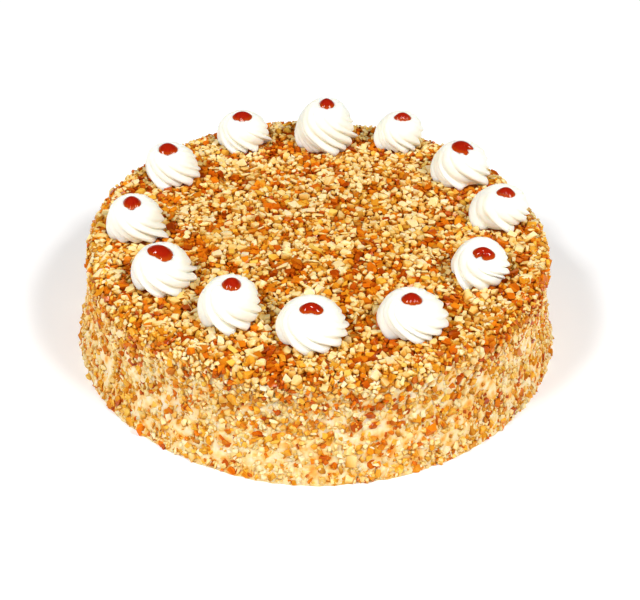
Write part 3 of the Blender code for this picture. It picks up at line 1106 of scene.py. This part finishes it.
def make_materials():
    found = {}
    found["nut"] = bit_material(
        "chopped_nut",
        (
            (0.0, (0.91, 0.75, 0.52)), (0.12, (0.93, 0.735, 0.41)), (0.42, (0.91, 0.67, 0.29)),
            (0.66, (0.85, 0.52, 0.145)), (0.84, (0.71, 0.33, 0.036)), (1.0, (0.47, 0.16, 0.008)),
        ),
        (0.88, 1.03), (0.50, 0.70), (900, 0.45, 0.0004),
        Subsurface_Weight=0.3, Subsurface_Radius=(1.0, 0.52, 0.20), Subsurface_Scale=0.0025,
        Specular_IOR_Level=0.12,
    )
    found["toasted"] = bit_material(
        "toasted_nut",
        (
            (0.0, (0.90, 0.61, 0.13)), (0.4, (0.84, 0.48, 0.060)), (0.7, (0.68, 0.29, 0.020)),
            (1.0, (0.38, 0.12, 0.008)),
        ),
        (0.82, 1.05), (0.45, 0.65), (900, 0.45, 0.0004),
        Specular_IOR_Level=0.12,
    )
    found["amber"] = bit_material(
        "amber_brittle",
        (
            (0.0, (0.86, 0.53, 0.085)), (0.35, (0.78, 0.375, 0.030)), (0.7, (0.69, 0.25, 0.011)),
            (1.0, (0.56, 0.15, 0.004)),
        ),
        (0.85, 1.08), (0.10, 0.26), (500, 0.15, 0.0004),
        Subsurface_Weight=0.15, Subsurface_Radius=(1.0, 0.30, 0.03), Subsurface_Scale=0.002,
        Specular_IOR_Level=0.09,
    )
    found["red"] = bit_material(
        "red_brittle",
        (
            (0.0, (0.78, 0.25, 0.008)), (0.4, (0.65, 0.15, 0.004)), (0.75, (0.50, 0.082, 0.002)),
            (1.0, (0.31, 0.036, 0.001)),
        ),
        (0.82, 1.08), (0.08, 0.22), (500, 0.15, 0.0004),
        Subsurface_Weight=0.15, Subsurface_Radius=(1.0, 0.18, 0.02), Subsurface_Scale=0.002,
        Specular_IOR_Level=0.09,
    )

    made, tree, shader = new_material("spread_cream")
    stain_and_crack_shade = node(tree, "ShaderNodeAttribute", attribute_name="stain_and_crack_shade").outputs["Fac"]
    glaze = node(tree, "ShaderNodeAttribute", attribute_name="glaze").outputs["Fac"]
    slow, fine = noise_at(tree, 60, 3.0), noise_at(tree, 420, 3.0, 0.6)
    plain = ramp(tree, slow, ((0.3, (0.86, 0.69, 0.44)), (0.52, (0.88, 0.755, 0.57)), (0.75, (0.90, 0.82, 0.73))))
    # The warm tint where bits sit: syrup stains, and painted shade in the cracks round them.
    seep_and_crack_shade = ramp(tree, stain_and_crack_shade, ((0.0, (1, 1, 1)), (0.35, (1.0, 0.86, 0.55)), (0.7, (0.98, 0.58, 0.15)), (1.0, (0.90, 0.34, 0.04))))
    cream = mix(tree, 1.0, plain, seep_and_crack_shade, "MULTIPLY")
    blend = maths(tree, "MULTIPLY_ADD", noise_at(tree, 150, 2.0), 0.6)
    blend.node.inputs[2].default_value = 0.0
    tree.links.new(maths(tree, "MULTIPLY", fine, 0.4), blend.node.inputs[2])
    dark = ramp(tree, blend, ((0.36, (0.36, 0.055, 0.003)), (0.5, (0.58, 0.135, 0.006)), (0.64, (0.74, 0.27, 0.016))))
    tree.links.new(mix(tree, glaze, cream, dark), shader.inputs["Base Color"])
    dull = ramp(tree, fine, ((0.3, (0.5,) * 3), (0.7, (0.72,) * 3)))
    wet = ramp(tree, fine, ((0.3, (0.12,) * 3), (0.7, (0.26,) * 3)))
    tree.links.new(mix(tree, glaze, dull, wet), shader.inputs["Roughness"])
    bump(tree, shader, fine, 0.5, 0.0006)
    shader.inputs["Specular IOR Level"].default_value = 0.25
    shader.inputs["Subsurface Weight"].default_value = 0.4
    shader.inputs["Subsurface Radius"].default_value = (1.0, 0.62, 0.32)
    shader.inputs["Subsurface Scale"].default_value = 0.003
    found["core"] = made

    made, tree, shader = new_material("whipped_cream")
    slow, fine = noise_at(tree, 90, 2.0), noise_at(tree, 1500, 3.0, 0.7)
    tree.links.new(
        ramp(tree, slow, ((0.3, (0.945, 0.925, 0.775)), (0.7, (0.955, 0.94, 0.815)))),
        shader.inputs["Base Color"],
    )
    tree.links.new(ramp(tree, fine, ((0.3, (0.42,) * 3), (0.7, (0.58,) * 3))), shader.inputs["Roughness"])
    bump(tree, shader, fine, 0.15, 0.0003)
    shader.inputs["Subsurface Weight"].default_value = 0.85
    shader.inputs["Subsurface Radius"].default_value = (1.0, 0.85, 0.7)
    shader.inputs["Subsurface Scale"].default_value = 0.006
    # A faint warm glow: painted light that lifts the shade in the cream's grooves.
    shader.inputs["Emission Color"].default_value = (1.0, 0.98, 0.90, 1)
    shader.inputs["Emission Strength"].default_value = 0.045
    found["cream"] = made

    made, tree, shader = new_material("red_jelly")
    rim = node(tree, "ShaderNodeAttribute", attribute_name="rim").outputs["Fac"]
    slow = noise_at(tree, 350, 2.0)
    deep = ramp(tree, slow, ((0.3, (0.33, 0.0085, 0.0003)), (0.7, (0.38, 0.012, 0.0004))))
    # Lighter orange at the rim: partly the thin edge, partly painted light through its front side.
    tree.links.new(mix(tree, rim, deep, (0.46, 0.066, 0.001)), shader.inputs["Base Color"])
    tree.links.new(ramp(tree, slow, ((0.3, (0.03,) * 3), (0.7, (0.05,) * 3))), shader.inputs["Roughness"])
    bump(tree, shader, noise_at(tree, 160, 1.0), 0.03, 0.0004)
    shader.inputs["Specular IOR Level"].default_value = 0.3
    shader.inputs["Subsurface Weight"].default_value = 0.15
    shader.inputs["Subsurface Radius"].default_value = (1.0, 0.10, 0.01)
    shader.inputs["Subsurface Scale"].default_value = 0.002
    found["jelly"] = made

    made, tree, shader = new_material("pale_floor")
    slow = noise_at(tree, 3, 2.0)
    tree.links.new(ramp(tree, slow, ((0.3, (0.86, 0.86, 0.86)), (0.7, (0.88, 0.88, 0.88)))), shader.inputs["Base Color"])
    shader.inputs["Roughness"].default_value = 0.6
    shader.inputs["Emission Color"].default_value = (1, 1, 1, 1)
    shader.inputs["Emission Strength"].default_value = 0.19
    found["floor"] = made
    return found


# ------------------------------------------------------------ camera and light
def make_camera():
    """The photograph's view: from the front, 37 degrees above the table."""
    rise, roll = math.radians(36.77), math.radians(1.6)
    away = 6.0 * 0.1266
    forward = Vector((0, math.cos(rise), -math.sin(rise)))
    right = Vector((1, 0, 0))
    up = right.cross(forward)
    x = math.cos(roll) * right + math.sin(roll) * up
    y = -math.sin(roll) * right + math.cos(roll) * up
    data = bpy.data.cameras.new("camera")
    data.sensor_width = 36.0
    data.sensor_fit = "HORIZONTAL"
    data.lens = 1285.3 * 36.0 / 640.0
    data.clip_start, data.clip_end = 0.01, 20.0
    made = bpy.data.objects.new("camera", data)
    bpy.context.scene.collection.objects.link(made)
    spot = Vector((0.00215, 0.0185, 0)) - forward * away
    turn = Matrix((x, y, -forward)).transposed()
    made.matrix_world = Matrix.Translation(spot) @ turn.to_4x4()
    bpy.context.scene.camera = made


def area_light(name, place, target, size, power, colour=(1, 1, 1)):
    data = bpy.data.lights.new(name, "AREA")
    data.shape = "RECTANGLE"
    data.size, data.size_y = size
    data.energy = power
    data.color = colour
    made = bpy.data.objects.new(name, data)
    bpy.context.scene.collection.objects.link(made)
    place = Vector(place)
    made.location = place
    made.rotation_euler = (Vector(target) - place).to_track_quat("-Z", "Y").to_euler()
    return made


def make_stage(materials):
    bm = bmesh.new()
    bmesh.ops.create_grid(bm, x_segments=8, y_segments=8, size=3.0)
    mesh = bpy.data.meshes.new("floor")
    bm.to_mesh(mesh)
    bm.free()
    floor = bpy.data.objects.new("floor", mesh)
    floor.location.z = -0.0002
    bpy.context.scene.collection.objects.link(floor)
    mesh.materials.append(materials["floor"])
    floor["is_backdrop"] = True
    world = bpy.data.worlds.new("studio")
    bpy.context.scene.world = world
    world.use_nodes = True
    tree = world.node_tree
    back = tree.nodes["Background"]
    # A white room, brighter in front and overhead than behind.
    where = node(tree, "ShaderNodeTexCoord")
    lean = node(tree, "ShaderNodeVectorMath", operation="DOT_PRODUCT")
    lean.inputs[1].default_value = (0.0, -0.75, 0.66)
    tree.links.new(where.outputs["Generated"], lean.inputs[0])
    share = maths(tree, "MULTIPLY_ADD", lean.outputs["Value"], 0.5)
    share.node.inputs[2].default_value = 0.5
    tree.links.new(
        ramp(tree, share, ((0.35, (0.045,) * 3), (0.62, (0.11,) * 3), (0.9, (0.18,) * 3))),
        back.inputs[0],
    )
    back.inputs[1].default_value = 1.0
    area_light("front_left", (-2.00, -1.40, 2.74), (0, 0, 0.03), (0.85, 0.85), 97.0)
    area_light("front_right", (2.02, -1.37, 2.70), (0, 0, 0.03), (0.85, 0.85), 99.0)
    view = bpy.context.scene.view_settings
    view.view_transform = "Standard"
    view.look = "None"
    view.exposure = 0.0
    view.gamma = 1.0


def main():
    materials = make_materials()
    top_field, half = lay_top()
    side_field = lay_side()
    lay_crumbs(top_field, half, side_field)
    core = make_core()
    coat = [core]
    core.data.materials.append(materials["core"])
    # under: how far faces turned down and bits' feet go to the dark end, as syrup and painted shade.
    for bits, finish, skin, under, reach, jitter, sharp, creamed in (
        (pale_top, "nut", 0.10, 0.85, (0.65, -0.5), 0.05, 46, 0),
        (pale_side, "nut", 0.10, 0.78, (0.72, -0.35), 0.05, 58, 0.65),
        (toasted, "toasted", 0.10, 0.50, (0.7, -0.4), 0.05, 48, 0.5),
        (amber, "amber", 0.0, 0.45, (0.7, -0.4), 0.10, 44, 0.5),
        (red, "red", 0.0, 0.35, (0.7, -0.4), 0.10, 44, 0.3),
        (crumbs, "nut", 0.1, 0.5, (0.6, -0.6), 0.1, 50, 0.65),
        (sugar, "amber", 0.1, 0.3, (0.6, -0.6), 0.2, 50, 0.4),
    ):
        made = bits.build(skin, under, reach, jitter, sharp, creamed)
        made.data.materials.append(materials[finish])
        coat.append(made)
    for made in coat:
        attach(made, "root")
    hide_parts("cake_body")
    for made in coat[1:]:
        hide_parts("cake_body")
    for number, row in enumerate(SWIRLS, 1):
        swirl, blob = make_swirl(number, row), make_blob(number, row)
        swirl.data.materials.append(materials["cream"])
        blob.data.materials.append(materials["jelly"])
        for made, slot, cad in (
            (swirl, "cream", f"cream_swirl_{number:02d}"),
            (blob, "jelly", f"jelly_blob_{number:02d}"),
        ):
            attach(made, "root")
            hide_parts(cad)
    make_stage(materials)
    make_camera()
    total = sum(len(o.data.polygons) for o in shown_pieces())
    print("triangles in all:", total)


main()
